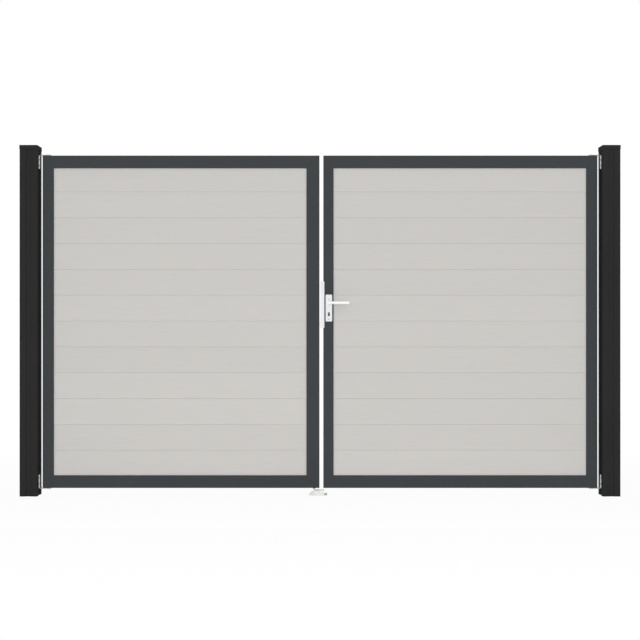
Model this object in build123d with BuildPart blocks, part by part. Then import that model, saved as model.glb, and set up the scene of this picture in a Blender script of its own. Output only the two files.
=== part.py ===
from build123d import *
import os
from dataclasses import dataclass
from math import ceil

# Double swing gate, millimetres. X runs from the left post to the right post, the street face
# looks along -Y, Z is up. The origin lies on the foot of the left post, at the middle of its section.

# Posts
post_width = 95.0
post_rise = 51.0
post_corner_radius = 1.0
post_channel_width = 27.0
post_channel_depth = 3.0
cap_wall = 1.3
cap_fit = 0.2
cap_top = 2.0
cap_skirt = 20.0
cap_bevel = 1.0

# Leaves
leaf_height = 1800.0
ground_gap = 42.0
frame_depth = 40.0
hinge_stile_width = 60.0
passive_stile_width = 70.0
active_stile_width = 55.0
rail_height = 68.0
infill_width = 1369.0
hinge_gap = 22.5
meeting_gap = 21.0
bar_edge_bevel = 0.4
mitre_groove = 0.4

# Boards and the channel in the frame that holds them
board_cover = 140.0
board_thickness = 28.0
board_joint = 0.3
board_bevel = 0.8
tongue_thickness = 6.0
tongue_height = 8.0
tongue_fit = 0.5
channel_fit = 0.5
channel_side_depth = 15.0
channel_bottom_depth = 4.0
board_top_reach = 12.0
channel_top_spare = 4.0
board_end_fit = 2.0

# Corner pivots
pivot_inset = 30.0
bracket_thickness = 3.0
bracket_fit = 0.3
bracket_leg = 74.0
bracket_bend_radius = 3.0
arm_overhang = 13.0
arm_end_chamfer = 7.0
arm_clearance = 2.0
pin_radius = 8.0
pin_depth = 34.0
pin_head_radius = 12.0
pin_head_height = 2.5
bush_wall = 3.0
bush_flange = 4.0
bush_spare = 3.0
seat_fit = 0.05
running_fit = 0.05
thrust_gap = 0.3

# Lock set on the active leaf
handle_backset = 30.0
handle_height = 1044.0
plate_width = 36.0
plate_below = 101.0
plate_above = 45.0
plate_thickness = 8.0
plate_corner_radius = 5.0
plate_edge_bevel = 1.5
keyhole_drop = 61.0
keyhole_width = 11.0
keyhole_height = 22.0
lever_radius = 8.0
lever_reach = 110.0
lever_standoff = 50.0
lever_tip_bevel = 1.5
collar_radius = 11.0
collar_height = 6.0
lever_gap = 0.3
spindle_side = 8.0
spindle_bore_radius = 7.0
spindle_socket = 18.0

# Edge guard, bolts and strike at the meeting gap
guard_length = 253.0
guard_drop = 9.5
guard_thickness = 3.0
guard_lap = 5.5
guard_cover = 15.5
guard_web = 30.0
guard_corner_radius = 5.0
bolt_window_fit = 0.5
bolt_proud = 8.0
latch_width = 12.0
latch_height = 22.0
latch_rise = 14.0
latch_nose = 4.0
dead_bolt_width = 11.0
dead_bolt_height = 30.0
bolt_tail = 10.0
strike_width = 24.0
strike_thickness = 3.0
strike_margin = 2.0

# Drop bolt on the back of the passive leaf, and its keep on the ground
rod_radius = 6.0
rod_edge_distance = 30.0
rod_standoff = 14.0
rod_tip_height = 30.0
rod_length = 400.0
rod_handle = 62.0
rod_bend = 12.0
rod_tip_chamfer = 2.0
rod_fit = 0.3
guide_width = 32.0
guide_height = 28.0
guide_wall = 6.0
guide_lug = 10.0
guide_lug_thickness = 3.0
guide_low = 34.0
guide_spacing = 230.0
keep_base = 4.0
keep_left_of_edge = 57.0
keep_right_of_edge = 43.0
keep_front = 22.0
keep_back = 58.0
keep_block_height = 30.0
keep_ramp_run = 28.0
keep_toe_run = 18.0
keep_toe_height = 15.0
keep_bevel = 1.2
keep_block_right = 25.0
keep_block_depth = 36.0
keep_socket_height = 14.0
keep_socket_wall = 6.0
keep_socket_fit = 3.0
anchor_inset = 8.0
anchor_radius = 7.0
anchor_height = 9.0


@dataclass
class Leaf:
    """One leaf: its edges along X, its stiles, and the side that carries the pivots."""

    name: str
    left: float
    right: float
    left_stile: float
    right_stile: float
    pivot_x: float


# Lines that several pieces share
post_face = post_width / 2
leaf_bottom = ground_gap
leaf_top = ground_gap + leaf_height
post_height = leaf_top + post_rise
half_depth = frame_depth / 2

left_edge = post_face + hinge_gap
passive_edge = left_edge + hinge_stile_width + infill_width + passive_stile_width
active_edge = passive_edge + meeting_gap
right_edge = active_edge + active_stile_width + infill_width + hinge_stile_width
right_post_x = right_edge + hinge_gap + post_face

passive = Leaf(
    name="left",
    left=left_edge,
    right=passive_edge,
    left_stile=hinge_stile_width,
    right_stile=passive_stile_width,
    pivot_x=left_edge + pivot_inset,
)
active = Leaf(
    name="right",
    left=active_edge,
    right=right_edge,
    left_stile=active_stile_width,
    right_stile=hinge_stile_width,
    pivot_x=right_edge - pivot_inset,
)

opening_bottom = leaf_bottom + rail_height
opening_top = leaf_top - rail_height
boards_bottom = opening_bottom - channel_bottom_depth
boards_limit = opening_top + board_top_reach
board_count = ceil((opening_top - boards_bottom) / board_cover)
channel_width = board_thickness + 2 * channel_fit
handle_x = active_edge + handle_backset
keyhole_height_z = handle_height - keyhole_drop
guard_height = handle_height - guard_drop
bush_radius = pin_radius + running_fit + bush_wall
bush_length = pin_depth + bush_spare
bracket_width = post_channel_width - 2 * bracket_fit
rod_x = passive_edge - rod_edge_distance
rod_y = half_depth + rod_standoff
latch_z = handle_height + latch_rise


def save(builder, name):
    """Label a finished piece and write it to its own file."""
    builder.part.label = name
    export_step(builder.part, f"parts/{name}.step")


def post(name, x):
    """Extruded post: rounded square section with a shallow channel down each of its four faces."""
    with BuildPart() as shaft:
        with BuildSketch(Plane.XY):
            with Locations((x, 0)):
                RectangleRounded(post_width, post_width, post_corner_radius)
                with PolarLocations(post_face - post_channel_depth / 2, 4):
                    Rectangle(post_channel_depth, post_channel_width, mode=Mode.SUBTRACT)
        extrude(amount=post_height)
    save(shaft, name)


def post_cap(name, x):
    """Slip-on cap: a thin skirt round the head of the post under a flat top with bevelled edges."""
    bore = post_width + 2 * cap_fit
    outside = bore + 2 * cap_wall
    with BuildPart() as cap:
        with BuildSketch(Plane.XY.offset(post_height - cap_skirt)):
            with Locations((x, 0)):
                RectangleRounded(outside, outside, post_corner_radius + cap_wall)
        extrude(amount=cap_skirt + cap_top)
        with BuildSketch(Plane.XY.offset(post_height - cap_skirt)):
            with Locations((x, 0)):
                RectangleRounded(bore, bore, post_corner_radius)
        extrude(amount=cap_skirt, mode=Mode.SUBTRACT)
        chamfer(cap.faces().sort_by(Axis.Z)[-1].edges(), length=cap_bevel)
    save(cap, name)


def frame_bar(leaf, outline, run):
    """Frame bar with mitred ends, bevelled along its run, cut by the board channel and the pivot bores.

    The outline lies in the plane of the gate, and its second and fourth sides are the mitres. A fine groove
    follows them on both faces. The same channel box and the same two bores cut all four bars.
    """
    with BuildPart() as bar:
        with BuildSketch(Plane.XZ):
            with BuildLine():
                Polyline(*outline, close=True)
            make_face()
        extrude(amount=half_depth, both=True)
        chamfer(bar.edges().filter_by(run), length=bar_edge_bevel)
        for face in (-half_depth, half_depth):
            with BuildSketch(Plane.XZ.offset(face)):
                with BuildLine():
                    Line(outline[1], outline[2])
                    Line(outline[3], outline[0])
                trace(line_width=2 * mitre_groove)
            extrude(amount=mitre_groove, both=True, mode=Mode.SUBTRACT)
        with BuildSketch(Plane.XZ):
            channel_left = leaf.left + leaf.left_stile - channel_side_depth
            channel_right = leaf.right - leaf.right_stile + channel_side_depth
            channel_top = boards_limit + channel_top_spare
            with Locations(((channel_left + channel_right) / 2, (boards_bottom + channel_top) / 2)):
                Rectangle(channel_right - channel_left, channel_top - boards_bottom)
        extrude(amount=channel_width / 2, both=True, mode=Mode.SUBTRACT)
        for level, inward in ((leaf_bottom, 1), (leaf_top, -1)):
            with BuildSketch(Plane.XY.offset(level)):
                with Locations((leaf.pivot_x, 0)):
                    Circle(bush_radius + seat_fit)
            extrude(amount=inward * (bush_length + seat_fit), mode=Mode.SUBTRACT)
    return bar


def leaf_frame(leaf):
    """The four bars of a leaf, met corner to corner along the mitres, in the order of their names."""
    inner_left = leaf.left + leaf.left_stile
    inner_right = leaf.right - leaf.right_stile
    outer = [
        (leaf.left, leaf_bottom),
        (leaf.right, leaf_bottom),
        (leaf.right, leaf_top),
        (leaf.left, leaf_top),
    ]
    inner = [
        (inner_left, opening_bottom),
        (inner_right, opening_bottom),
        (inner_right, opening_top),
        (inner_left, opening_top),
    ]
    bars = []
    for side, run in enumerate((Axis.X, Axis.Z, Axis.X, Axis.Z)):
        after = (side + 1) % 4
        bars.append(frame_bar(leaf, [outer[side], outer[after], inner[after], inner[side]], run))
    return bars


def boards(leaf):
    """Stack of boards: bevelled faces, a tongue on top of each and a groove under each.

    There are as many boards as the opening takes. The last one has its tongue cut off, and is ripped down
    where it would reach too far into the top rail.
    """
    start = leaf.left + leaf.left_stile - channel_side_depth + board_end_fit
    end = leaf.right - leaf.right_stile + channel_side_depth - board_end_fit
    half = board_thickness / 2
    slot_half = tongue_thickness / 2 + tongue_fit
    slot_top = tongue_height - board_joint + tongue_fit
    with BuildPart() as stack:
        for row in range(board_count):
            foot = boards_bottom + row * board_cover
            face_height = min(board_cover, boards_limit - foot) - board_joint
            row_plane = Plane(origin=(start, 0, foot), x_dir=(0, 1, 0), z_dir=(1, 0, 0))
            with BuildSketch(row_plane):
                with BuildLine():
                    Polyline(
                        (-half + board_bevel, 0),
                        (-slot_half, 0),
                        (-slot_half, slot_top),
                        (slot_half, slot_top),
                        (slot_half, 0),
                        (half - board_bevel, 0),
                        (half, board_bevel),
                        (half, face_height - board_bevel),
                        (half - board_bevel, face_height),
                        (-half + board_bevel, face_height),
                        (-half, face_height - board_bevel),
                        (-half, board_bevel),
                        close=True,
                    )
                make_face()
                if row < board_count - 1:
                    with Locations((0, face_height)):
                        Rectangle(tongue_thickness, tongue_height, align=(Align.CENTER, Align.MIN))
            extrude(amount=end - start)
    save(stack, f"{leaf.name}_boards")


def pivot(leaf, end, face_x, level, outward):
    """Corner pivot at one end of a leaf: an angle bracket on the post and the pin that it carries.

    The bracket's leg lies flush in the channel of the post, and its arm reaches over the end of the leaf.
    Outward is 1 at the top of the leaf and -1 below it.
    """
    inward = 1 if leaf.pivot_x > face_x else -1
    seat_x = face_x - inward * post_channel_depth
    arm_inner = level + outward * arm_clearance
    arm_outer = arm_inner + outward * bracket_thickness
    leg_end = arm_outer - outward * bracket_leg
    leg_face = seat_x + inward * bracket_thickness
    arm_end = leaf.pivot_x + inward * arm_overhang
    with BuildPart() as bracket:
        with BuildSketch(Plane.XZ):
            with BuildLine():
                Polyline(
                    (seat_x, arm_outer),
                    (arm_end, arm_outer),
                    (arm_end, arm_inner),
                    (leg_face, arm_inner),
                    (leg_face, leg_end),
                    (seat_x, leg_end),
                    close=True,
                )
            make_face()
        extrude(amount=bracket_width / 2, both=True)
        bend = bracket.edges().filter_by(Axis.Y).sort_by_distance((leg_face, 0, arm_inner))[0]
        fillet(bend, radius=bracket_bend_radius)
        arm_corners = bracket.edges().filter_by(Axis.Z).sort_by_distance((arm_end, 0, arm_inner))[:2]
        chamfer(arm_corners, length=arm_end_chamfer)
        with BuildSketch(Plane.XY.offset(arm_inner)):
            with Locations((leaf.pivot_x, 0)):
                Circle(pin_radius + seat_fit)
        extrude(amount=outward * bracket_thickness, mode=Mode.SUBTRACT)
    save(bracket, f"{leaf.name}_{end}_hinge_bracket")

    with BuildPart() as pin:
        with BuildSketch(Plane.XY.offset(arm_outer)):
            with Locations((leaf.pivot_x, 0)):
                RegularPolygon(pin_head_radius, 6)
        extrude(amount=outward * pin_head_height)
        with BuildSketch(Plane.XY.offset(arm_outer)):
            with Locations((leaf.pivot_x, 0)):
                Circle(pin_radius)
        extrude(amount=-outward * (bracket_thickness + arm_clearance + pin_depth))
    save(pin, f"{leaf.name}_{end}_hinge_pin")


def pivot_bushes(leaf):
    """Flanged bushes pressed into the two ends of a leaf, bored for the pivot pins."""
    flange_height = arm_clearance - thrust_gap
    with BuildPart() as bushes:
        for level, inward in ((leaf_bottom, 1), (leaf_top, -1)):
            with BuildSketch(Plane.XY.offset(level)):
                with Locations((leaf.pivot_x, 0)):
                    Circle(bush_radius + bush_flange)
            extrude(amount=-inward * flange_height)
            with BuildSketch(Plane.XY.offset(level)):
                with Locations((leaf.pivot_x, 0)):
                    Circle(bush_radius)
            extrude(amount=inward * bush_length)
            with BuildSketch(Plane.XY.offset(level - inward * flange_height)):
                with Locations((leaf.pivot_x, 0)):
                    Circle(pin_radius + running_fit)
            extrude(amount=inward * (flange_height + bush_length), mode=Mode.SUBTRACT)
    save(bushes, f"{leaf.name}_pivot_bushes")


def handle_plate(name, facing):
    """Long plate under a lever: rounded outline, bevelled front edge, a round hole and a keyhole slot.

    Facing is -1 for the street side and 1 for the back.
    """
    seat = facing * half_depth
    middle = handle_height + (plate_above - plate_below) / 2
    plane = Plane(origin=(handle_x, seat, middle), x_dir=(1, 0, 0), z_dir=(0, facing, 0))
    up = 1 if plane.y_dir.Z > 0 else -1
    with BuildPart() as plate:
        with BuildSketch(plane):
            RectangleRounded(plate_width, plate_below + plate_above, plate_corner_radius)
        extrude(amount=plate_thickness)
        front = plate.faces().sort_by(Axis.Y)[0 if facing < 0 else -1]
        chamfer(front.outer_wire().edges(), length=plate_edge_bevel)
        with BuildSketch(plane):
            with Locations((0, up * (handle_height - middle))):
                Circle(lever_radius + lever_gap)
            with Locations((0, up * (keyhole_height_z - middle))):
                SlotOverall(keyhole_height, keyhole_width, rotation=90)
        extrude(amount=plate_thickness, mode=Mode.SUBTRACT)
    save(plate, name)


def lever(name, facing):
    """Round-bar lever: out from the plate, round a mitred corner and along the leaf.

    It has a collar at the plate and a square socket for the spindle.
    """
    seat = facing * half_depth
    neck_start = seat + facing * lever_gap
    outer = facing * (half_depth + plate_thickness + lever_standoff)
    collar_seat = facing * (half_depth + plate_thickness + lever_gap)
    with BuildPart() as bar:
        with BuildLine() as path:
            Polyline(
                (handle_x, neck_start, handle_height),
                (handle_x, outer, handle_height),
                (handle_x + lever_reach, outer, handle_height),
            )
        with BuildSketch(Plane(origin=path.wire() @ 0, z_dir=path.wire() % 0)):
            Circle(lever_radius)
        sweep(transition=Transition.RIGHT)
        chamfer(bar.faces().sort_by(Axis.X)[-1].edges(), length=lever_tip_bevel)
        with BuildSketch(Plane(origin=(handle_x, collar_seat, handle_height), z_dir=(0, facing, 0))):
            Circle(collar_radius)
        extrude(amount=collar_height)
        with BuildSketch(Plane(origin=(handle_x, neck_start, handle_height), z_dir=(0, facing, 0))):
            Rectangle(spindle_side + 2 * seat_fit, spindle_side + 2 * seat_fit)
        extrude(amount=spindle_socket + seat_fit, mode=Mode.SUBTRACT)
    save(bar, name)


os.makedirs("parts", exist_ok=True)

# Posts with their caps
for side, x in (("left", 0.0), ("right", right_post_x)):
    post(f"{side}_post", x)
    post_cap(f"{side}_post_cap", x)

# Corner pivots and boards of both leaves
for leaf, face_x in ((passive, post_face), (active, right_post_x - post_face)):
    pivot(leaf, "top", face_x, leaf_top, 1)
    pivot(leaf, "bottom", face_x, leaf_bottom, -1)
    pivot_bushes(leaf)
    boards(leaf)

# Frame of the passive leaf, with the strike let into its meeting stile
bottom_bar, meeting_bar, top_bar, hinge_bar = leaf_frame(passive)
save(bottom_bar, "left_bottom_rail")
save(top_bar, "left_top_rail")
save(hinge_bar, "left_hinge_stile")
strike_plane = Plane(origin=(passive_edge, 0, guard_height), x_dir=(0, 1, 0), z_dir=(1, 0, 0))
with BuildPart() as left_meeting_stile:
    add(meeting_bar.part)
    with BuildSketch(strike_plane):
        RectangleRounded(strike_width, guard_length, strike_margin)
    extrude(amount=-strike_thickness, mode=Mode.SUBTRACT)
save(left_meeting_stile, "left_meeting_stile")

with BuildPart() as strike_plate:
    with BuildSketch(strike_plane):
        RectangleRounded(strike_width, guard_length, strike_margin)
        with Locations((0, latch_z - guard_height)):
            Rectangle(latch_width + 2 * strike_margin, latch_height + 2 * strike_margin, mode=Mode.SUBTRACT)
        with Locations((0, keyhole_height_z - guard_height)):
            Rectangle(
                dead_bolt_width + 2 * strike_margin,
                dead_bolt_height + 2 * strike_margin,
                mode=Mode.SUBTRACT,
            )
    extrude(amount=-strike_thickness)
save(strike_plate, "strike_plate")

# Frame of the active leaf, with the bore for the lever spindle
bottom_bar, hinge_bar, top_bar, meeting_bar = leaf_frame(active)
save(bottom_bar, "right_bottom_rail")
save(top_bar, "right_top_rail")
save(hinge_bar, "right_hinge_stile")
spindle_plane = Plane(origin=(handle_x, 0, handle_height), x_dir=(1, 0, 0), z_dir=(0, 1, 0))
with BuildPart() as right_meeting_stile:
    add(meeting_bar.part)
    with BuildSketch(spindle_plane):
        Circle(spindle_bore_radius)
    extrude(amount=half_depth, both=True, mode=Mode.SUBTRACT)
    with BuildSketch(Plane.YZ.offset(active_edge)):
        with Locations((0, latch_z)):
            Rectangle(latch_width + 2 * bolt_window_fit, latch_height + 2 * bolt_window_fit)
        with Locations((0, keyhole_height_z)):
            Rectangle(dead_bolt_width + 2 * bolt_window_fit, dead_bolt_height + 2 * bolt_window_fit)
    extrude(amount=bolt_tail, mode=Mode.SUBTRACT)
save(right_meeting_stile, "right_meeting_stile")

# Edge guard: a T section on the active leaf whose flange covers the gap in front of the bolts
with BuildPart() as lock_guard:
    with BuildSketch(Plane.XZ.offset(half_depth)):
        with Locations((active_edge + (guard_lap - guard_cover) / 2, guard_height)):
            RectangleRounded(guard_lap + guard_cover, guard_length, guard_corner_radius)
    extrude(amount=guard_thickness)
    with BuildSketch(Plane.YZ.offset(active_edge)):
        with Locations((-half_depth + guard_web / 2, guard_height)):
            Rectangle(guard_web, guard_length - 2 * guard_corner_radius)
        with Locations((0, latch_z)):
            Rectangle(
                latch_width + 2 * bolt_window_fit,
                latch_height + 2 * bolt_window_fit,
                mode=Mode.SUBTRACT,
            )
        with Locations((0, keyhole_height_z)):
            Rectangle(
                dead_bolt_width + 2 * bolt_window_fit,
                dead_bolt_height + 2 * bolt_window_fit,
                mode=Mode.SUBTRACT,
            )
    extrude(amount=-guard_thickness)
save(lock_guard, "lock_guard")

# Latch bolt with its slanted nose, and the square dead bolt under it
with BuildPart() as latch_bolt:
    nose = active_edge - guard_thickness - bolt_proud
    with BuildSketch(Plane.XY.offset(latch_z - latch_height / 2)):
        with BuildLine():
            Polyline(
                (active_edge + bolt_tail, -latch_width / 2),
                (active_edge + bolt_tail, latch_width / 2),
                (active_edge - guard_thickness, latch_width / 2),
                (nose, latch_nose - latch_width / 2),
                (nose, -latch_width / 2),
                close=True,
            )
        make_face()
    extrude(amount=latch_height)
save(latch_bolt, "latch_bolt")

with BuildPart() as dead_bolt:
    with BuildSketch(Plane.YZ.offset(active_edge + bolt_tail)):
        with Locations((0, keyhole_height_z)):
            Rectangle(dead_bolt_width, dead_bolt_height)
    extrude(amount=-(bolt_tail + guard_thickness + bolt_proud / 2))
save(dead_bolt, "dead_bolt")

# Lever set: plates and levers on both faces, joined by the spindle through the stile
for side, facing in (("front", -1), ("back", 1)):
    handle_plate(f"{side}_handle_plate", facing)
    lever(f"{side}_lever", facing)

with BuildPart() as handle_spindle:
    with BuildSketch(spindle_plane):
        Rectangle(spindle_side, spindle_side)
    extrude(amount=half_depth + lever_gap + spindle_socket, both=True)
save(handle_spindle, "handle_spindle")

# Drop bolt: a rod with a mitred bend, in two guides on the back of the passive meeting stile
with BuildPart() as drop_bolt_rod:
    rod_top = rod_tip_height + rod_length
    with BuildLine() as rod_path:
        Polyline(
            (rod_x, rod_y, rod_tip_height),
            (rod_x, rod_y, rod_top - rod_bend),
            (rod_x - rod_bend, rod_y, rod_top),
            (rod_x - rod_handle, rod_y, rod_top),
        )
    with BuildSketch(Plane.XY.offset(rod_tip_height)):
        with Locations((rod_x, rod_y)):
            Circle(rod_radius)
    sweep(transition=Transition.RIGHT)
    chamfer(drop_bolt_rod.faces().sort_by(Axis.Z)[0].edges(), length=rod_tip_chamfer)
save(drop_bolt_rod, "drop_bolt_rod")

with BuildPart() as drop_bolt_guides:
    lug_end = guide_width / 2 + guide_lug
    lug_face = half_depth + guide_lug_thickness
    crown_half = rod_radius + guide_wall
    for low in (leaf_bottom + guide_low, leaf_bottom + guide_low + guide_spacing):
        with BuildSketch(Plane.XY.offset(low)):
            with BuildLine():
                Polyline(
                    (rod_x - lug_end, half_depth),
                    (rod_x + lug_end, half_depth),
                    (rod_x + lug_end, lug_face),
                    (rod_x + guide_width / 2, lug_face),
                    (rod_x + crown_half, rod_y + crown_half),
                    (rod_x - crown_half, rod_y + crown_half),
                    (rod_x - guide_width / 2, lug_face),
                    (rod_x - lug_end, lug_face),
                    close=True,
                )
            make_face()
            with Locations((rod_x, rod_y)):
                Circle(rod_radius + rod_fit, mode=Mode.SUBTRACT)
        extrude(amount=guide_height)
save(drop_bolt_guides, "drop_bolt_guides")

# Keep on the ground: base plate, ramped block under the meeting gap, and the socket for the drop bolt
keep_left = passive_edge - keep_left_of_edge
keep_right = passive_edge + keep_right_of_edge
anchor_x = keep_right - anchor_inset
anchor_front_y = anchor_inset - keep_front
anchor_back_y = keep_back - anchor_inset
with BuildPart() as floor_keep:
    with BuildSketch(Plane.XY):
        with Locations(((keep_left + keep_right) / 2, (keep_back - keep_front) / 2)):
            Rectangle(keep_right - keep_left, keep_back + keep_front)
    extrude(amount=keep_base)
    with BuildSketch(Plane.XZ.offset(keep_front)):
        with BuildLine():
            Polyline(
                (keep_left, 0),
                (passive_edge + keep_block_right, 0),
                (passive_edge + keep_block_right, keep_block_height),
                (keep_left + keep_ramp_run, keep_block_height),
                (keep_left + keep_toe_run, keep_toe_height),
                (keep_left, keep_base),
                close=True,
            )
        make_face()
    extrude(amount=-keep_block_depth)
    chamfer(floor_keep.faces().sort_by(Axis.Z)[-1].edges(), length=keep_bevel)
    socket_side = 2 * (rod_radius + keep_socket_fit)
    with BuildSketch(Plane.XY):
        with Locations((rod_x, rod_y)):
            Rectangle(socket_side + 2 * keep_socket_wall, socket_side + 2 * keep_socket_wall)
    extrude(amount=keep_socket_height)
    with BuildSketch(Plane.XY):
        with Locations((rod_x, rod_y)):
            Rectangle(socket_side, socket_side)
    extrude(amount=keep_socket_height, mode=Mode.SUBTRACT)
save(floor_keep, "floor_keep")

with BuildPart() as floor_keep_anchor:
    with BuildSketch(Plane.XY.offset(keep_base)):
        with Locations((anchor_x, anchor_front_y), (passive_edge, anchor_back_y)):
            RegularPolygon(anchor_radius, 6)
    extrude(amount=anchor_height)
save(floor_keep_anchor, "floor_keep_anchor")
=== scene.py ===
"""Studio scene of the double gate.

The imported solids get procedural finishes, and the small fittings that the solids leave out are added as
surfaces worked out with numpy. Lengths are metres in the gate's own frame: X runs along the gate, the street
face looks along -Y, Z is up.
"""

import logging
import math
from collections.abc import Sequence
from dataclasses import dataclass, field
from enum import Enum
from typing import Any

import bmesh
import bpy
import numpy as np
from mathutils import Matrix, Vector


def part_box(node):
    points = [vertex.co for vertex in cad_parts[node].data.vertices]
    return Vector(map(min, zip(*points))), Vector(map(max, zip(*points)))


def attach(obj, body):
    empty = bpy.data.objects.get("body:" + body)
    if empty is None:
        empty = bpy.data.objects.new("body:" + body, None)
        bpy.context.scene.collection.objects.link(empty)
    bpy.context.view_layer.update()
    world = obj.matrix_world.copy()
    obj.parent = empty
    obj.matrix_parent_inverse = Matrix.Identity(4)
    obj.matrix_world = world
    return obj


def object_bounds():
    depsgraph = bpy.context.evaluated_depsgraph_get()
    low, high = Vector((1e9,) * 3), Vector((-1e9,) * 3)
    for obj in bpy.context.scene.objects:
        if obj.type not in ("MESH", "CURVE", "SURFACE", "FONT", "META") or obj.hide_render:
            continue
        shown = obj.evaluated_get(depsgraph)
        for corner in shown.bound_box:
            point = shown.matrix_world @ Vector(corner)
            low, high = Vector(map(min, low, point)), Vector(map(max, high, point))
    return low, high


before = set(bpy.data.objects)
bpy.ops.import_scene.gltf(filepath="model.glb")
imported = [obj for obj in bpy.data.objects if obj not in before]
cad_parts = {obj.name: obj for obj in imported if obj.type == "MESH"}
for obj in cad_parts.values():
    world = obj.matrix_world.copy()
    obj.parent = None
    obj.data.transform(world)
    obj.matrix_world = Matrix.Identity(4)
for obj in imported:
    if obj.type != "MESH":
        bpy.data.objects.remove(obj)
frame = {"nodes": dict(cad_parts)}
cad_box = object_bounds()

log = logging.getLogger("double_gate")

Colour = tuple[float, float, float]
Point = tuple[float, float, float]
Scale = float | Point
Socket = bpy.types.NodeSocket

MM = 0.001
WHITE = (1.0, 1.0, 1.0, 1.0)

# Middle and half length of the gate along X
MIDDLE = (cad_box[0][0] + cad_box[1][0]) / 2
HALF_LENGTH = (cad_box[1][0] - cad_box[0][0]) / 2

# Points along the curve of a dome or a lip
CURVE_POINTS = 7

# Share of a step that keeps a polygon's corner point on the side that starts there
CORNER_NUDGE = 1e-6

# Part of the range from 0 to 1 that noise mostly keeps to
NOISE_RANGE = (0.3, 0.7)


class Side(Enum):
    """The two halves of the gate, with the direction from the post towards the middle."""

    LEFT = 1
    RIGHT = -1

    @property
    def label(self) -> str:
        """Name of the half as the nodes have it."""
        return self.name.lower()


class Face(Enum):
    """The two faces of a leaf, with the way that they look along Y."""

    FRONT = -1
    BACK = 1

    @property
    def label(self) -> str:
        """Name of the face as the nodes have it."""
        return self.name.lower()


class Run(Enum):
    """The axis that brush marks follow, as the pattern's repeats per metre along X, Y and Z."""

    ALONG_X = (6.0, 420.0, 420.0)
    ALONG_Z = (420.0, 420.0, 6.0)


@dataclass(frozen=True)
class Patch:
    """A surface before it becomes a mesh.

    Attributes:
        points: Places of its points, one row each.
        quads: Rows of four point numbers.
        triangles: Rows of three point numbers.
    """

    points: np.ndarray
    quads: np.ndarray
    triangles: np.ndarray

    def placed(self, origin: Point, along: Point, facing: Point) -> "Patch":
        """Carry the surface from its own axes to its place on the gate.

        Its own X goes to along, its Z to facing and its Y to facing x along:
        p -> origin + x a + y (f x a) + z f.

        Args:
            origin: Where its own origin goes.
            along: Unit direction that its own X takes.
            facing: Unit direction that its own Z takes.

        Returns:
            The surface at its place.
        """
        axis_x, axis_z = np.asarray(along, float), np.asarray(facing, float)
        turn = np.stack([axis_x, np.cross(axis_z, axis_x), axis_z])
        return Patch(self.points @ turn + np.asarray(origin, float), self.quads, self.triangles)

    @staticmethod
    def joined(patches: Sequence["Patch"]) -> "Patch":
        """Put several surfaces into one.

        Args:
            patches: The surfaces, each with point numbers of its own.

        Returns:
            One surface with all their points and faces.
        """
        starts = np.cumsum([0, *(len(patch.points) for patch in patches[:-1])])
        return Patch(
            np.concatenate([patch.points for patch in patches]),
            np.concatenate([patch.quads + start for patch, start in zip(patches, starts)]),
            np.concatenate([patch.triangles + start for patch, start in zip(patches, starts)]),
        )


@dataclass(frozen=True)
class Layer:
    """One level of a layered surface: a rounded rectangle, a circle or a regular polygon.

    Attributes:
        radius: Corner radius of the outline, or the radius of a circle or polygon.
        height: Level along the surface's own Z.
        half_width: Half of the straight part along X.
        half_height: Half of the straight part along Y.
        sides: Number of sides of a polygon, or 0 for round.
    """

    radius: float
    height: float
    half_width: float = 0.0
    half_height: float = 0.0
    sides: int = 0


def grid_quads(rows: int, columns: int, closed_rows: bool) -> np.ndarray:
    """Number the quads of a grid of points whose columns run round and close.

    Args:
        rows: Rows of points.
        columns: Points in each row.
        closed_rows: Whether the last row joins the first one.

    Returns:
        Quads with the row and column steps in right-handed order.
    """
    row = np.arange(rows if closed_rows else rows - 1)[:, None]
    column = np.arange(columns)[None, :]
    above, beside = (row + 1) % rows, (column + 1) % columns
    corners = (
        row * columns + column,
        row * columns + beside,
        above * columns + beside,
        above * columns + column,
    )
    return np.stack(np.broadcast_arrays(*corners), axis=-1).reshape(-1, 4)


def layered(layers: Sequence[Layer], sectors: int = 48) -> Patch:
    """Closed surface through a stack of outlines.

    At turn t the point of a layer is (sx a + r(t) cos t, sy b + r(t) sin t, h), where sx and sy are the
    signs of cos t and sin t, a and b the half sizes of its straight parts, and h its height. r(t) is its
    radius on a round layer, and r cos(pi / n) / cos((t mod 2 pi / n) - pi / n) on one with n sides. A fan to
    the middle closes both ends.

    Args:
        layers: Outlines from the foot, up the outside, and on into any recess.
        sectors: Points round each outline, a multiple of 24 so that every outline has its corners.

    Returns:
        The closed surface.
    """
    step = 2 * math.pi / sectors
    steps = np.arange(sectors) * step
    turn = steps + step / 2
    radius, height, half_width, half_height, sides = (
        np.array([getattr(layer, name) for layer in layers], float)[:, None]
        for name in ("radius", "height", "half_width", "half_height", "sides")
    )
    wedge = 2 * math.pi / np.maximum(sides, 3)
    polygon = np.cos(wedge / 2) / np.cos(np.mod(steps + step * CORNER_NUDGE, wedge) - wedge / 2)
    reach = radius * np.where(sides > 0, polygon, 1.0)
    x = np.sign(np.cos(turn)) * half_width + reach * np.cos(turn)
    y = np.sign(np.sin(turn)) * half_height + reach * np.sin(turn)
    rings = np.stack(np.broadcast_arrays(x, y, height), axis=-1).reshape(-1, 3)
    poles = np.array([[0.0, 0.0, layers[0].height], [0.0, 0.0, layers[-1].height]])
    around = np.arange(sectors)
    after = (around + 1) % sectors
    last = (len(layers) - 1) * sectors
    foot, crown = len(rings), len(rings) + 1
    fans = np.concatenate([
        np.stack([np.full(sectors, foot), after, around], axis=-1),
        np.stack([np.full(sectors, crown), last + around, last + after], axis=-1),
    ])
    return Patch(np.concatenate([rings, poles]), grid_quads(len(layers), sectors, False), fans)


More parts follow.
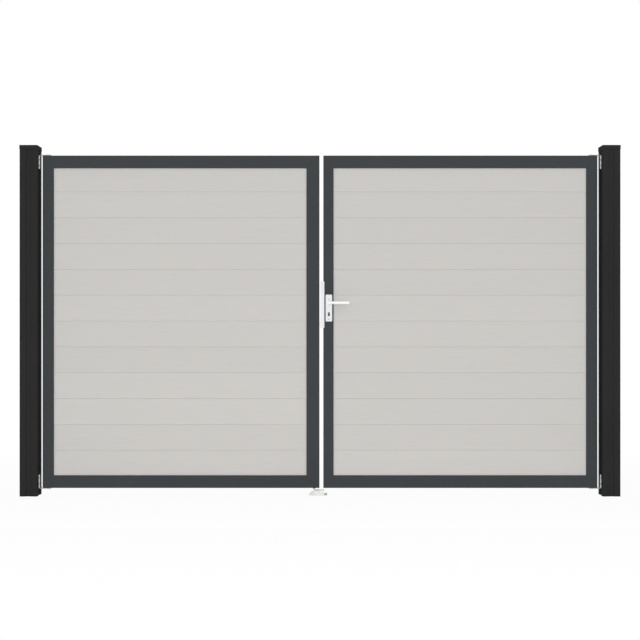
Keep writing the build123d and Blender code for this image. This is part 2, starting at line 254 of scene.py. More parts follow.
def framed(profile: np.ndarray, low: tuple[float, float], high: tuple[float, float]) -> Patch:
    """Moulding carried round a rectangle in the plane of the gate and mitred at its corners.

    A profile point (u, v) stands u inside the rectangle's edge at depth v, so at the corner with signs
    (sx, sz) it is (X - sx u, v, Z - sz u).

    Args:
        profile: Closed profile, rows of (u, v).
        low: Lowest X and Z of the rectangle.
        high: Highest X and Z of the rectangle.

    Returns:
        The closed moulding.
    """
    signs = np.array([[-1, -1], [1, -1], [1, 1], [-1, 1]], float)
    corner = np.where(signs < 0, np.array(low), np.array(high))
    inset, depth = profile[None, :, 0], profile[None, :, 1]
    x = corner[:, :1] - signs[:, :1] * inset
    z = corner[:, 1:] - signs[:, 1:] * inset
    points = np.stack(np.broadcast_arrays(x, depth, z), axis=-1).reshape(-1, 3)
    return Patch(points, grid_quads(4, len(profile), True), np.empty((0, 3), int))


class NodeSheet:
    """Short way to lay out and wire the nodes of a material or world."""

    def __init__(self, tree: bpy.types.NodeTree) -> None:
        """Start from an empty tree.

        Args:
            tree: Node tree of the material or world.
        """
        self.tree = tree
        self.tree.nodes.clear()

    def node(self, kind: str, inputs: dict[Any, Any] | None = None, **settings: Any) -> bpy.types.Node:
        """Add a node.

        Args:
            kind: Type name of the node.
            inputs: Its inputs by name or number, each a constant or a socket to wire in.
            **settings: Its other settings.

        Returns:
            The new node.
        """
        node = self.tree.nodes.new(kind)
        for name, value in settings.items():
            setattr(node, name, value)
        for key, value in (inputs or {}).items():
            if isinstance(value, Socket):
                self.tree.links.new(value, node.inputs[key])
            else:
                node.inputs[key].default_value = value
        return node

    def place(self, scale: Scale = 1.0) -> Socket:
        """Object coordinates with one scale, or with one along each axis."""
        coordinates = self.node("ShaderNodeTexCoord").outputs["Object"]
        scales = np.broadcast_to(scale, 3).tolist()
        return self.node("ShaderNodeMapping", {"Vector": coordinates, "Scale": scales}).outputs["Vector"]

    def noise(self, scale: Scale, detail: float = 2.0, roughness: float = 0.5) -> Socket:
        """Noise from 0 to 1 with one scale, or with one along each axis."""
        inputs = {"Vector": self.place(scale), "Scale": 1.0, "Detail": detail, "Roughness": roughness}
        return self.node("ShaderNodeTexNoise", inputs).outputs["Fac"]

    def math(self, operation: str, first: Any, second: Any = 0.0) -> Socket:
        """Result of a sum, product or other operation on one or two values."""
        return self.node("ShaderNodeMath", {0: first, 1: second}, operation=operation).outputs[0]

    def blend(self, first: Any, second: Any, share: float) -> Socket:
        """Mix of two values, with a share of the second."""
        rest = self.math("MULTIPLY", first, 1.0 - share)
        return self.math("ADD", rest, self.math("MULTIPLY", second, share))

    def spread(self, value: Socket, low: float, high: float) -> Socket:
        """Value stretched so that the usual range of noise covers low to high."""
        start, stop = NOISE_RANGE
        inputs = {"Value": value, "From Min": start, "From Max": stop, "To Min": low, "To Max": high}
        return self.node("ShaderNodeMapRange", inputs).outputs["Result"]


@dataclass(frozen=True)
class Finish:
    """Surface finish, made as one procedural material on object coordinates.

    Attributes:
        name: Name of the material.
        colour: Base colour, linear.
        roughness: Middle roughness.
        metallic: 1 for bare metal.
        specular: Strength of the reflection on a surface that isn't metal.
        tone: Share by which the colour varies either way.
        gloss: Amount by which the roughness varies either way.
        relief: Depth of the fine relief.
        cloud_scale: Repeats per metre of the slow change of tone.
        grain_scale: Repeats per metre of the fine grain.
    """

    name: str
    colour: Colour
    roughness: float
    metallic: float = 0.0
    specular: float = 0.5
    tone: float = 0.04
    gloss: float = 0.05
    relief: float = 0.05 * MM
    cloud_scale: Scale = 5.0
    grain_scale: Scale = 700.0

    def patterns(self, sheet: NodeSheet) -> tuple[Socket, Socket]:
        """Lay out the tone and the grain of the finish.

        Args:
            sheet: Sheet of the material.

        Returns:
            Slow change of tone and fine grain, both about 0 to 1.
        """
        return sheet.noise(self.cloud_scale, detail=3.0), sheet.noise(self.grain_scale)

    def material(self) -> bpy.types.Material:
        """Make the material, or find it where it is made already.

        Returns:
            The material.
        """
        made = bpy.data.materials.get(self.name)
        if made:
            return made
        material = bpy.data.materials.new(self.name)
        material.use_nodes = True
        material.diffuse_color = (*self.colour, 1.0)
        sheet = NodeSheet(material.node_tree)
        tone, grain = self.patterns(sheet)
        shade = sheet.spread(tone, 1.0 - self.tone, 1.0 + self.tone)
        tinted = sheet.node("ShaderNodeVectorMath", {0: self.colour, "Scale": shade}, operation="SCALE")
        bump = sheet.node("ShaderNodeBump", {"Height": grain, "Distance": self.relief, "Strength": 1.0})
        shader = sheet.node("ShaderNodeBsdfPrincipled", {
            "Base Color": tinted.outputs["Vector"],
            "Roughness": sheet.spread(grain, self.roughness - self.gloss, self.roughness + self.gloss),
            "Metallic": self.metallic,
            "Specular IOR Level": self.specular,
            "Normal": bump.outputs["Normal"],
        })
        sheet.node("ShaderNodeOutputMaterial", {"Surface": shader.outputs["BSDF"]})
        return material


@dataclass(frozen=True)
class PowderCoat(Finish):
    """Powder coat with a fine sandy structure.

    Attributes:
        speckle: Share of the tone that is the fine speckle. The rest is slow clouds.
        cloud_scale: Repeats per metre of the clouds.
        grain_scale: Repeats per metre of the pimples.
    """

    speckle: float = 0.7
    cloud_scale: Scale = 3.0
    grain_scale: Scale = 1100.0

    def patterns(self, sheet: NodeSheet) -> tuple[Socket, Socket]:
        """Clouds mixed with a speckle, and a relief of pimples about a millimetre wide.

        Args:
            sheet: Sheet of the material.

        Returns:
            Tone and grain.
        """
        pimples = sheet.noise(self.grain_scale, roughness=0.6)
        clouds = sheet.noise(self.cloud_scale, detail=4.0)
        return sheet.blend(clouds, pimples, self.speckle), pimples


@dataclass(frozen=True)
class BoardSkin(Finish):
    """Matt skin of the boards, with fine drawn lines along them and a tone of its own on each board.

    Attributes:
        cover: Height of one board.
        foot: Level of the foot of the lowest board.
        leaf_step: Number that the second leaf's boards are counted on from, so that the leaves differ.
        board_share: Share of the slow tone that is each board's own. The rest is streaks.
        line_share: Share of the tone that is the drawn lines.
        cloud_scale: Repeats per metre of the streaks.
        grain_scale: Repeats per metre of the drawn lines.
    """

    cover: float = 140 * MM
    foot: float = 106 * MM
    leaf_step: float = 37.0
    board_share: float = 0.4
    line_share: float = 0.7
    cloud_scale: Scale = (1.2, 20.0, 90.0)
    grain_scale: Scale = (9.0, 700.0, 700.0)

    def patterns(self, sheet: NodeSheet) -> tuple[Socket, Socket]:
        """Streaks along X mixed with one random tone for each board and with fine lines along X.

        Args:
            sheet: Sheet of the material.

        Returns:
            Tone and grain.
        """
        place = sheet.node("ShaderNodeSeparateXYZ", {"Vector": sheet.place()})
        rise = sheet.math("SUBTRACT", place.outputs["Z"], self.foot)
        row = sheet.math("FLOOR", sheet.math("DIVIDE", rise, self.cover))
        leaf = sheet.math("FLOOR", sheet.math("DIVIDE", place.outputs["X"], MIDDLE))
        number = sheet.math("ADD", row, sheet.math("MULTIPLY", leaf, self.leaf_step))
        own = sheet.node("ShaderNodeTexWhiteNoise", {"W": number}, noise_dimensions="1D").outputs["Value"]
        streak = sheet.noise(self.cloud_scale, detail=4.0, roughness=0.6)
        lines = sheet.noise(self.grain_scale, detail=3.0, roughness=0.6)
        return sheet.blend(sheet.blend(streak, own, self.board_share), lines, self.line_share), lines


@dataclass(frozen=True)
class BrushedMetal(Finish):
    """Bare metal brushed along one axis.

    Attributes:
        run: Axis of the brush marks.
        fineness: How many times finer the marks are than the clouds.
    """

    run: Run = Run.ALONG_Z
    fineness: float = 8.0

    def patterns(self, sheet: NodeSheet) -> tuple[Socket, Socket]:
        """Faint clouds, and brush marks stretched along the run.

        Args:
            sheet: Sheet of the material.

        Returns:
            Tone and grain.
        """
        marks = tuple(self.fineness * scale for scale in self.run.value)
        return sheet.noise(self.run.value, detail=3.0), sheet.noise(marks, roughness=0.6)


@dataclass(frozen=True)
class CastMetal(Finish):
    """Cast and zinc-coated metal with a spangle and a sandy relief.

    Attributes:
        cloud_scale: Patches of spangle per metre.
        grain_scale: Repeats per metre of the sandy grain.
    """

    cloud_scale: Scale = 160.0
    grain_scale: Scale = 380.0

    def patterns(self, sheet: NodeSheet) -> tuple[Socket, Socket]:
        """Patches of spangle about 6 mm wide, and a sandy grain.

        Args:
            sheet: Sheet of the material.

        Returns:
            Tone and grain.
        """
        cells = sheet.node("ShaderNodeTexVoronoi", {"Vector": sheet.place(self.cloud_scale), "Scale": 1.0})
        grey = sheet.node("ShaderNodeSeparateColor", {"Color": cells.outputs["Color"]}).outputs["Red"]
        return grey, sheet.noise(self.grain_scale, detail=4.0, roughness=0.6)


@dataclass(frozen=True)
class Palette:
    """The finishes of the gate, each named for the pieces that have it."""

    post: Finish = PowderCoat(
        "post_coat", (0.0275, 0.0275, 0.0278), 0.7, specular=0.009, tone=0.16, relief=0.12 * MM
    )
    frame: Finish = PowderCoat(
        "frame_coat", (0.0400, 0.0455, 0.0485), 0.5, specular=0.2, tone=0.12, relief=0.1 * MM
    )
    board: Finish = BoardSkin(
        "board_skin", (0.590, 0.574, 0.550), 0.65, specular=0.2, tone=0.05, relief=0.1 * MM
    )
    hinge: Finish = BrushedMetal(
        "bracket_brushed_steel", (0.44, 0.45, 0.46), 0.34, metallic=1.0, relief=0.02 * MM
    )
    pin: Finish = BrushedMetal(
        "pin_bright_steel", (0.86, 0.86, 0.87), 0.3, metallic=1.0, relief=0.01 * MM
    )
    handle: Finish = BrushedMetal(
        "plate_brushed_aluminium", (0.87, 0.88, 0.91), 0.3, metallic=1.0, relief=0.012 * MM
    )
    lever: Finish = BrushedMetal(
        "lever_brushed_aluminium", (0.97, 0.97, 0.96), 0.28, metallic=0.5, relief=0.01 * MM, run=Run.ALONG_X
    )
    bolt: Finish = BrushedMetal(
        "bolt_brushed_steel", (0.60, 0.60, 0.61), 0.32, metallic=1.0, relief=0.02 * MM
    )
    keep: Finish = CastMetal(
        "keep_casting", (0.83, 0.85, 0.82), 0.5, metallic=0.75, tone=0.06, relief=0.12 * MM
    )
    anchor: Finish = CastMetal("anchor_casting", (0.50, 0.50, 0.50), 0.5, metallic=1.0, tone=0.05)
    # Cylinder end: brushed steel, with painted shade. Its colour is darkened to carry the shade inside the
    # keyhole as well.
    cylinder: Finish = BrushedMetal(
        "cylinder_brushed_steel", (0.17, 0.17, 0.18), 0.35, metallic=1.0, relief=0.01 * MM
    )
    # Plug: steel with painted shade. It is nearly black to stand in for the shade in the lower part of the
    # keyhole.
    plug: Finish = BrushedMetal(
        "plug_steel_painted_shade", (0.06, 0.06, 0.065), 0.35, metallic=1.0, relief=0.01 * MM
    )
    rod: Finish = PowderCoat("rod_coat", (0.016, 0.016, 0.017), 0.45, specular=0.3)
    nylon: Finish = Finish("bush_moulding", (0.03, 0.03, 0.03), 0.5)
    gasket: Finish = Finish("gasket_rubber", (0.24, 0.24, 0.235), 0.75, specular=0.2)


PALETTE = Palette()


def coat(finish: Finish, *nodes: str) -> None:
    """Give solids of the frame their finish.

    Args:
        finish: The finish.
        *nodes: Names of the solids.
    """
    for name in nodes:
        for slot in frame["nodes"][name].material_slots:
            slot.material = finish.material()
        log.info("%s: %s", name, finish.name)


def add_piece(
    name: str, patch: Patch, body: str, finish: Finish, crease: float = 32.0
) -> bpy.types.Object:
    """Make a surface a piece of the gate that moves with a body.

    Args:
        name: Name of the piece.
        patch: Its surface, at its place.
        body: The body that carries it.
        finish: Its finish.
        crease: Angle in degrees above which an edge stays sharp.

    Returns:
        The new piece.
    """
    mesh = bpy.data.meshes.new(name)
    mesh.from_pydata(patch.points.tolist(), [], patch.quads.tolist() + patch.triangles.tolist())
    shape = bmesh.new()
    shape.from_mesh(mesh)
    bmesh.ops.recalc_face_normals(shape, faces=shape.faces)
    shape.to_mesh(mesh)
    shape.free()
    mesh.shade_smooth()
    mesh.set_sharp_from_angle(angle=math.radians(crease))
    mesh.materials.append(finish.material())
    piece = bpy.data.objects.new(name, mesh)
    bpy.context.scene.collection.objects.link(piece)
    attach(piece, body)
    log.info("%s: %d faces on %s", name, len(mesh.polygons), body)
    return piece


@dataclass(frozen=True)
class Screw:
    """Domed screw head with a hexagon socket.

    Attributes:
        radius: Radius of the head.
        height: Height of the head.
        socket: Radius of the socket over its corners.
        depth: Depth of the socket.
        dome_start: Turn at which the dome starts above the seat, in radians.
        rim_share: Radius at which the dome ends, in socket radii.
        mouth_share: Radius of the socket's bevelled mouth, in socket radii.
        mouth_depth_share: Depth of that bevel, in socket depths.
    """

    radius: float = 4.2 * MM
    height: float = 2.2 * MM
    socket: float = 1.8 * MM
    depth: float = 1.5 * MM
    dome_start: float = 0.15
    rim_share: float = 1.25
    mouth_share: float = 1.06
    mouth_depth_share: float = 0.12

    def patch(self) -> Patch:
        """Work out the head: r = R cos t and h = H sin t up the dome, then down into the socket.

        Returns:
            The head on its own axes, with its seat at the origin and its top along Z.
        """
        rim = self.rim_share * self.socket
        turns = np.linspace(self.dome_start, math.acos(rim / self.radius), CURVE_POINTS)
        dome = [Layer(self.radius * math.cos(t), self.height * math.sin(t)) for t in turns]
        top = dome[-1].height
        socket = [
            Layer(self.mouth_share * self.socket, top, sides=6),
            Layer(self.socket, top - self.mouth_depth_share * self.depth, sides=6),
            Layer(self.socket, top - self.depth, sides=6),
        ]
        return layered([Layer(self.radius, 0.0), *dome, *socket])

    def at(self, places: Sequence[Point], facing: Point, along: Point) -> Patch:
        """Set one head at each place.

        Args:
            places: Where the seats go.
            facing: The way that the heads look.
            along: A direction across the heads.

        Returns:
            All heads as one surface.
        """
        head = self.patch()
        return Patch.joined([head.placed(place, along, facing) for place in places])


@dataclass
class PostPair:
    """The two posts with their caps.

    Attributes:
        finish: Finish of posts and caps.
    """

    finish: Finish = PALETTE.post

    def dress(self) -> None:
        """Coat posts and caps."""
        for side in Side:
            coat(self.finish, f"{side.label}_post", f"{side.label}_post_cap")


@dataclass
class LeafPanel:
    """One leaf: mitred frame, boards, and the gasket where the boards enter the frame.

    Attributes:
        side: Which leaf it is.
        bead: How far the gasket covers the boards.
        bead_rise: How far it stands up from them.
        bead_root: How far it reaches into the channel.
    """

    side: Side
    bead: float = 0.5 * MM
    bead_rise: float = 1.0 * MM
    bead_root: float = 0.2 * MM

    def build(self) -> None:
        """Lay a gasket round the boards on both faces.

        The profile is a quarter ellipse, u = b sin t and v = r cos t, closed by a root in the channel.
        """
        name = self.side.label
        boards_low, boards_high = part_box(f"{name}_boards")
        stiles = [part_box(f"{name}_{stile}") for stile in ("hinge_stile", "meeting_stile")]
        stiles.sort(key=lambda box: box[0].x)
        low = (stiles[0][1].x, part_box(f"{name}_bottom_rail")[1].z)
        high = (stiles[1][0].x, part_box(f"{name}_top_rail")[0].z)
        turn = np.linspace(0.0, math.pi / 2, CURVE_POINTS)
        lip = np.stack([self.bead * np.sin(turn), self.bead_rise * np.cos(turn)], axis=-1)
        root = np.array([[-self.bead_root, 0.0], [-self.bead_root, self.bead_rise]])
        outline = np.concatenate([lip, root])
        rings = []
        for face, level in ((Face.FRONT, boards_low.y), (Face.BACK, boards_high.y)):
            profile = np.stack([outline[:, 0], level + face.value * outline[:, 1]], axis=-1)
            rings.append(framed(profile, low, high))
        add_piece(f"{name}_board_gasket", Patch.joined(rings), f"{name}_leaf", PALETTE.gasket)

    def dress(self) -> None:
        """Coat the frame, the boards and the bushes."""
        name = self.side.label
        bars = ("top_rail", "bottom_rail", "hinge_stile", "meeting_stile")
        coat(PALETTE.frame, *(f"{name}_{bar}" for bar in bars))
        coat(PALETTE.board, f"{name}_boards")
        coat(PALETTE.nylon, f"{name}_pivot_bushes")


@dataclass
class CornerPivots:
    """The four angle brackets with their pins, and the screws in their legs.

    Attributes:
        thickness: Thickness of a bracket.
        screw_steps: Distances of the screws from the outer face of the arm.
        screw: The screw.
    """

    thickness: float = 3 * MM
    screw_steps: tuple[float, float] = (25 * MM, 57 * MM)
    screw: Screw = Screw(5.5 * MM, 2.6 * MM, 2.3 * MM, 1.8 * MM)

    def build(self) -> None:
        """Set two screws in the leg of each bracket, looking towards the leaf."""
        heads = []
        for side in Side:
            for end, inward in (("top", -1), ("bottom", 1)):
                low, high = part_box(f"{side.label}_{end}_hinge_bracket")
                seat = low.x + self.thickness if side is Side.LEFT else high.x - self.thickness
                outer = high.z if inward < 0 else low.z
                places = [(seat, 0.0, outer + inward * step) for step in self.screw_steps]
                heads.append(self.screw.at(places, (side.value, 0, 0), (0, 1, 0)))
        add_piece("hinge_bracket_screws", Patch.joined(heads), "posts", PALETTE.bolt)

    def dress(self) -> None:
        """Coat brackets and pins."""
        for side in Side:
            for end in ("top", "bottom"):
                name = f"{side.label}_{end}_hinge"
                coat(PALETTE.hinge, f"{name}_bracket")
                coat(PALETTE.pin, f"{name}_pin")


@dataclass
class LockSet:
    """Plates, levers, guard, bolts and strike, with the lock cylinder and the screws.

    Attributes:
        key_level: Height of the middle of the keyhole.
        key_radius: Half width of the keyhole.
        key_half: Half height of the keyhole.
        key_fit: Play of the cylinder in the keyhole.
        recess: How far the cylinder stays below the face of the plate.
        rim: Bevel round the cylinder's end and round the plug.
        plug_radius: Radius of the plug that takes the key.
        plug_drop: How far the plug lies under the middle of the keyhole.
        keyway_radius: Half width of the keyway.
        keyway_half: Half length of its straight part.
        keyway_floor: Level of its floor above the end of the cylinder.
        plate_screw: Screw of the handle plates.
        screw_over_lever: Height of the upper plate screw over the lever.
        screw_over_foot: Height of the lower plate screw over the foot of the plate.
        edge_screw: Screw of the guard and the strike.
        edge_screw_inset: Distance of these screws from the ends of their plate.
        guard_wall: Thickness of the guard.
        grub: Screw in the collar of a lever.
        collar_radius: Radius of that collar.
        collar_middle: Level of its middle over the plate.
    """

    key_level: float = 983 * MM
    key_radius: float = 5.5 * MM
    key_half: float = 11 * MM
    key_fit: float = 0.25 * MM
    recess: float = 2.5 * MM
    rim: float = 0.4 * MM
    plug_radius: float = 4.9 * MM
    plug_drop: float = 5.0 * MM
    keyway_radius: float = 0.8 * MM
    keyway_half: float = 2.6 * MM
    keyway_floor: float = 0.08 * MM
    plate_screw: Screw = Screw(4.0 * MM, 1.1 * MM, 1.6 * MM, 0.9 * MM)
    screw_over_lever: float = 19.5 * MM
    screw_over_foot: float = 13 * MM
    edge_screw: Screw = Screw(4.0 * MM, 1.2 * MM, 1.7 * MM, 1.0 * MM)
    edge_screw_inset: float = 20 * MM
    guard_wall: float = 3 * MM
    grub: Screw = Screw(2.3 * MM, 0.5 * MM, 1.2 * MM, 0.4 * MM)
    collar_radius: float = 11 * MM
    collar_middle: float = 3.3 * MM

    def cylinder(self, face: Face, seat: float, top: float, x: float) -> tuple[Patch, Patch]:
        """Work out one end of the lock cylinder and its plug.

        The end is a slot shape with a bevelled rim. The plug is a disc whose upper outline turns into the
        narrow slot of the keyway and goes down.

        Args:
            face: The face of the leaf.
            seat: Where the end starts, along Y.
            top: Where it stops, along Y.
            x: Its middle along X.

        Returns:
            The end and the plug.
        """
        radius = self.key_radius - self.key_fit
        straight = self.key_half - self.key_radius
        length = abs(top - seat)
        end = layered([
            Layer(radius, 0.0, half_height=straight),
            Layer(radius, length - self.rim, half_height=straight),
            Layer(radius - self.rim, length, half_height=straight),
        ])
        plug = layered([
            Layer(self.plug_radius, -self.rim),
            Layer(self.plug_radius, self.rim),
            Layer(self.plug_radius - self.rim, 2 * self.rim),
            Layer(self.keyway_radius, 2 * self.rim, half_height=self.keyway_half),
            Layer(self.keyway_radius, self.keyway_floor, half_height=self.keyway_half),
        ])
        along, facing = (-face.value, 0, 0), (0, face.value, 0)
        return (
            end.placed((x, seat, self.key_level), along, facing),
            plug.placed((x, top, self.key_level - self.plug_drop), along, facing),
        )

    def build(self) -> None:
        """Add cylinder ends, plugs, plate screws, edge screws and the grub screws of the levers."""
        spindle_low, spindle_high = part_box("handle_spindle")
        axis_x, axis_z = (spindle_low.x + spindle_high.x) / 2, (spindle_low.z + spindle_high.z) / 2
        ends, plugs, plate_heads, grubs = [], [], [], []
        for face in Face:
            low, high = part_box(f"{face.label}_handle_plate")
            seat, outside = (low.y, high.y) if face is Face.BACK else (high.y, low.y)
            end, plug = self.cylinder(face, seat, outside - face.value * self.recess, axis_x)
            ends.append(end)
            plugs.append(plug)
            levels = (axis_z + self.screw_over_lever, low.z + self.screw_over_foot)
            places = [(axis_x, outside, level) for level in levels]
            plate_heads.append(self.plate_screw.at(places, (0, face.value, 0), (1, 0, 0)))
            grub_place = (axis_x, outside + face.value * self.collar_middle, axis_z - self.collar_radius)
            grubs.append(self.grub.at([grub_place], (0, 0, -1), (1, 0, 0)))
        # The cylinder end has painted shade: its darkened steel carries the shade inside the keyhole.
        add_piece("lock_cylinder", Patch.joined(ends), "right_leaf", PALETTE.cylinder)
        # The plug has painted shade: its near-black steel stands in for the shade low in the keyhole.
        add_piece("lock_plugs", Patch.joined(plugs), "right_leaf", PALETTE.plug)
        add_piece("handle_plate_screws", Patch.joined(plate_heads), "right_leaf", PALETTE.bolt)
        add_piece("lever_grub_screws", Patch.joined(grubs), "lever_set", PALETTE.bolt)
        web_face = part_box("right_meeting_stile")[0].x - self.guard_wall
        strike_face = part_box("strike_plate")[1].x
        self.add_edge_screws("lock_guard", "right_leaf", web_face, -1)
        self.add_edge_screws("strike_plate", "left_leaf", strike_face, 1)

    def add_edge_screws(self, node: str, body: str, face_x: float, facing: int) -> None:
        """Set two screws near the ends of a plate that lies on the edge of a stile.

        Args:
            node: The plate.
            body: The leaf that it is on.
            face_x: Where its outer face lies along X.
            facing: The way that it looks along X.
        """
        low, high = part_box(node)
        levels = (low.z + self.edge_screw_inset, high.z - self.edge_screw_inset)
        heads = self.edge_screw.at([(face_x, 0.0, level) for level in levels], (facing, 0, 0), (0, 1, 0))
        add_piece(f"{node}_screws", heads, body, PALETTE.bolt)

    def dress(self) -> None:
        """Coat plates, levers, guard, bolts and strike."""
        coat(PALETTE.handle, "front_handle_plate", "back_handle_plate", "lock_guard")
        coat(PALETTE.lever, "front_lever", "back_lever")
        coat(PALETTE.bolt, "handle_spindle", "latch_bolt", "dead_bolt", "strike_plate")


@dataclass
class DropBolt:
    """Drop bolt with its guides, and the keep on the ground with its anchors.

    Attributes:
        lug: Width of a guide's lug.
        lug_thickness: Thickness of a guide's lug.
        guide_height: Height of a guide.
        screw: Screw of the guides.
        washer: Radius of the washers under the anchors.
        washer_rise: Thickness of the washers.
        washer_bevel: Bevel round their upper edge.
        anchor_radius: Radius of an anchor's hexagon over its corners.
    """

    lug: float = 10 * MM
    lug_thickness: float = 3 * MM
    guide_height: float = 28 * MM
    screw: Screw = Screw(3.8 * MM, 2.2 * MM, 1.6 * MM, 1.4 * MM)
    washer: float = 6.9 * MM
    washer_rise: float = 1.4 * MM
    washer_bevel: float = 0.28 * MM
    anchor_radius: float = 7 * MM

    def build(self) -> None:
        """Screw the guides to the stile and put washers under the anchors."""
        low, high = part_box("drop_bolt_guides")
        levels = (low.z + self.guide_height / 2, high.z - self.guide_height / 2)
        columns = (low.x + self.lug / 2, high.x - self.lug / 2)
        places = [(x, low.y + self.lug_thickness, z) for x in columns for z in levels]
        heads = self.screw.at(places, (0, 1, 0), (1, 0, 0))
        add_piece("drop_bolt_guide_screws", heads, "left_leaf", PALETTE.rod)
        anchor_low, anchor_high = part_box("floor_keep_anchor")
        disc = layered([
            Layer(self.washer, 0.0),
            Layer(self.washer, self.washer_rise - self.washer_bevel),
            Layer(self.washer - self.washer_bevel, self.washer_rise),
        ])
        half = self.anchor_radius * math.cos(math.pi / 6)
        places = (
            (anchor_high.x - self.anchor_radius, anchor_low.y + half, anchor_low.z),
            (anchor_low.x + self.anchor_radius, anchor_high.y - half, anchor_low.z),
        )
        discs = [disc.placed(place, (1, 0, 0), (0, 0, 1)) for place in places]
        add_piece("floor_keep_washers", Patch.joined(discs), "posts", PALETTE.anchor)

    def dress(self) -> None:
        """Coat rod, guides, keep and anchors."""
        coat(PALETTE.rod, "drop_bolt_rod", "drop_bolt_guides")
        coat(PALETTE.anchor, "floor_keep_anchor")
        coat(PALETTE.keep, "floor_keep")


@dataclass(frozen=True)
class Softbox:
    """Soft lamp that lights the gate but shows in no picture or mirror.

    Attributes:
        name: Name of the lamp.
        power: Its power in watts.
        place: Where it stands.
        aim: The point that it looks at.
        size: Its width and height.
    """

    name: str
    power: float
    place: Point
    aim: Point
    size: tuple[float, float]

    def build(self) -> None:
        """Hang the lamp and turn it to its aim."""
        data = bpy.data.lights.new(self.name, "AREA")
        data.shape, data.energy = "ELLIPSE", self.power
        data.size, data.size_y = self.size
        lamp = bpy.data.objects.new(self.name, data)
        way = np.array(self.aim) - np.array(self.place)
        tilt = math.atan2(math.hypot(way[0], way[1]), -way[2])
        lamp.location = self.place
        lamp.rotation_euler = (tilt, 0.0, math.atan2(-way[0], way[1]))
        lamp.visible_camera = lamp.visible_glossy = False
        bpy.context.scene.collection.objects.link(lamp)


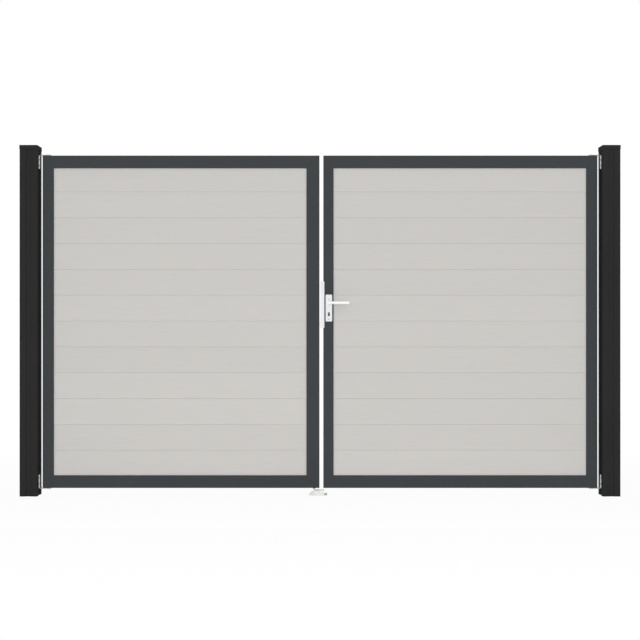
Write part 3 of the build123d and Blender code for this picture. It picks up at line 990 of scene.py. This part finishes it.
@dataclass
class Studio:
    """Camera, white surroundings, floor and lamps.

    Attributes:
        eye: Where the camera stands. It looks straight along +Y.
        lens: Focal length in millimetres.
        sensor: Width of the camera's sensor in millimetres.
        sky: Level of the light from all round.
        floor_size: Length of the floor's sides.
        floor_tone: Grey of the floor.
        floor_glow: Share of plain white in the floor at the gate, as the camera sees it. The rest keeps the
            shadow.
        fade: Distances from the gate between which the floor turns plain white.
        key: Lamp over the camera.
        back: Lamp behind the gate.
        fill: Low lamp in front of the foot of the gate.
    """

    eye: Point = (MIDDLE, -5.976, 0.9515)
    lens: float = 61.875
    sensor: float = 36.0
    sky: float = 0.72
    floor_size: float = 60.0
    floor_tone: float = 0.92
    floor_glow: float = 0.93
    fade: tuple[float, float] = (0.5, 2.6)
    key: Softbox = Softbox("key", 145.0, (MIDDLE, -6.5, 2.6), (MIDDLE, 0.0, 0.9), (7.0, 7.0))
    back: Softbox = Softbox("back", 100.0, (MIDDLE, 6.5, 2.6), (MIDDLE, 0.0, 0.9), (7.0, 7.0))
    fill: Softbox = Softbox("fill", 2.3, (MIDDLE, -1.0, 0.12), (MIDDLE, 0.0, 0.3), (5.0, 0.16))

    def camera(self) -> None:
        """Set up the camera square to the gate, where it stood for the picture."""
        data = bpy.data.cameras.new("camera")
        data.sensor_width, data.lens = self.sensor, self.lens
        camera = bpy.data.objects.new("camera", data)
        camera.location = self.eye
        camera.rotation_euler = (math.pi / 2, 0.0, 0.0)
        bpy.context.scene.collection.objects.link(camera)
        bpy.context.scene.camera = camera

    def seen(self, sheet: NodeSheet) -> Socket:
        """Value that is 1 for rays from the camera, a mirror or glass, and 0 for lighting.

        Args:
            sheet: Sheet of the material or world.

        Returns:
            The value.
        """
        path = sheet.node("ShaderNodeLightPath").outputs
        straight = sheet.math("MAXIMUM", path["Is Camera Ray"], path["Is Glossy Ray"])
        return sheet.math("MAXIMUM", straight, path["Is Transmission Ray"])

    def world(self) -> None:
        """White surroundings to look at, at a plain level of light."""
        world = bpy.data.worlds.new("studio")
        world.use_nodes = True
        sheet = NodeSheet(world.node_tree)
        levels = {"Value": self.seen(sheet), "To Min": self.sky, "To Max": 1.0}
        strength = sheet.node("ShaderNodeMapRange", levels).outputs["Result"]
        background = sheet.node("ShaderNodeBackground", {"Color": WHITE, "Strength": strength})
        sheet.node("ShaderNodeOutputWorld", {"Surface": background.outputs["Background"]})
        bpy.context.scene.world = world

    def whiteness(self, sheet: NodeSheet) -> Socket:
        """Share of plain white in the floor, which grows with the distance from the gate.

        The distance is the length of (max(|x - m| - l, 0), y), where m is the middle of the gate along X and
        l half of its length.

        Args:
            sheet: Sheet of the floor's material.

        Returns:
            The share, from floor_glow at the gate to 1 far from it.
        """
        place = sheet.node("ShaderNodeSeparateXYZ", {"Vector": sheet.place()})
        off = sheet.math("ABSOLUTE", sheet.math("SUBTRACT", place.outputs["X"], MIDDLE))
        past = sheet.math("MAXIMUM", sheet.math("SUBTRACT", off, HALF_LENGTH), 0.0)
        flat = sheet.node("ShaderNodeCombineXYZ", {"X": past, "Y": place.outputs["Y"]})
        away = sheet.node("ShaderNodeVectorMath", {0: flat.outputs["Vector"]}, operation="LENGTH")
        near, far = self.fade
        inputs = {
            "Value": away.outputs["Value"],
            "From Min": near,
            "From Max": far,
            "To Min": self.floor_glow,
            "To Max": 1.0,
        }
        return sheet.node("ShaderNodeMapRange", inputs, interpolation_type="SMOOTHSTEP").outputs["Result"]

    def floor(self) -> None:
        """Pale floor that keeps the shadow of the gate and turns white in the distance."""
        half = self.floor_size / 2
        mesh = bpy.data.meshes.new("floor")
        corners = np.array([[-half, -half, 0], [half, -half, 0], [half, half, 0], [-half, half, 0]])
        mesh.from_pydata((corners + np.array([MIDDLE, 0.0, 0.0])).tolist(), [], [[0, 1, 2, 3]])
        material = bpy.data.materials.new("studio_floor")
        material.use_nodes = True
        sheet = NodeSheet(material.node_tree)
        tone = (self.floor_tone, self.floor_tone, self.floor_tone, 1.0)
        matt = sheet.node("ShaderNodeBsdfDiffuse", {"Color": tone}).outputs["BSDF"]
        glow = sheet.node("ShaderNodeEmission", {"Color": WHITE, "Strength": 1.0}).outputs["Emission"]
        share = sheet.math("MULTIPLY", self.seen(sheet), self.whiteness(sheet))
        mixed = sheet.node("ShaderNodeMixShader", {0: share, 1: matt, 2: glow})
        sheet.node("ShaderNodeOutputMaterial", {"Surface": mixed.outputs["Shader"]})
        mesh.materials.append(material)
        floor = bpy.data.objects.new("floor", mesh)
        bpy.context.scene.collection.objects.link(floor)

    def build(self) -> None:
        """Set up the whole studio."""
        bpy.context.scene.view_settings.view_transform = "Standard"
        self.camera()
        self.world()
        self.floor()
        for lamp in (self.key, self.back, self.fill):
            lamp.build()


@dataclass
class DoubleGate:
    """The whole gate with its studio.

    Attributes:
        posts: The two posts.
        leaves: The two leaves.
        pivots: The corner pivots.
        lock: The lock set.
        bolt: The drop bolt and its keep.
        studio: Camera, floor and light.
    """

    posts: PostPair = field(default_factory=PostPair)
    leaves: tuple[LeafPanel, ...] = field(default_factory=lambda: tuple(LeafPanel(side) for side in Side))
    pivots: CornerPivots = field(default_factory=CornerPivots)
    lock: LockSet = field(default_factory=LockSet)
    bolt: DropBolt = field(default_factory=DropBolt)
    studio: Studio = field(default_factory=Studio)

    def make(self) -> None:
        """Build and dress every part in order."""
        self.studio.build()
        self.posts.dress()
        for part in (*self.leaves, self.pivots, self.lock, self.bolt):
            part.build()
            part.dress()


def main() -> None:
    """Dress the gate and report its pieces."""
    logging.basicConfig(level=logging.INFO, format="%(name)s %(message)s")
    DoubleGate().make()


if __name__ == "__main__":
    main()
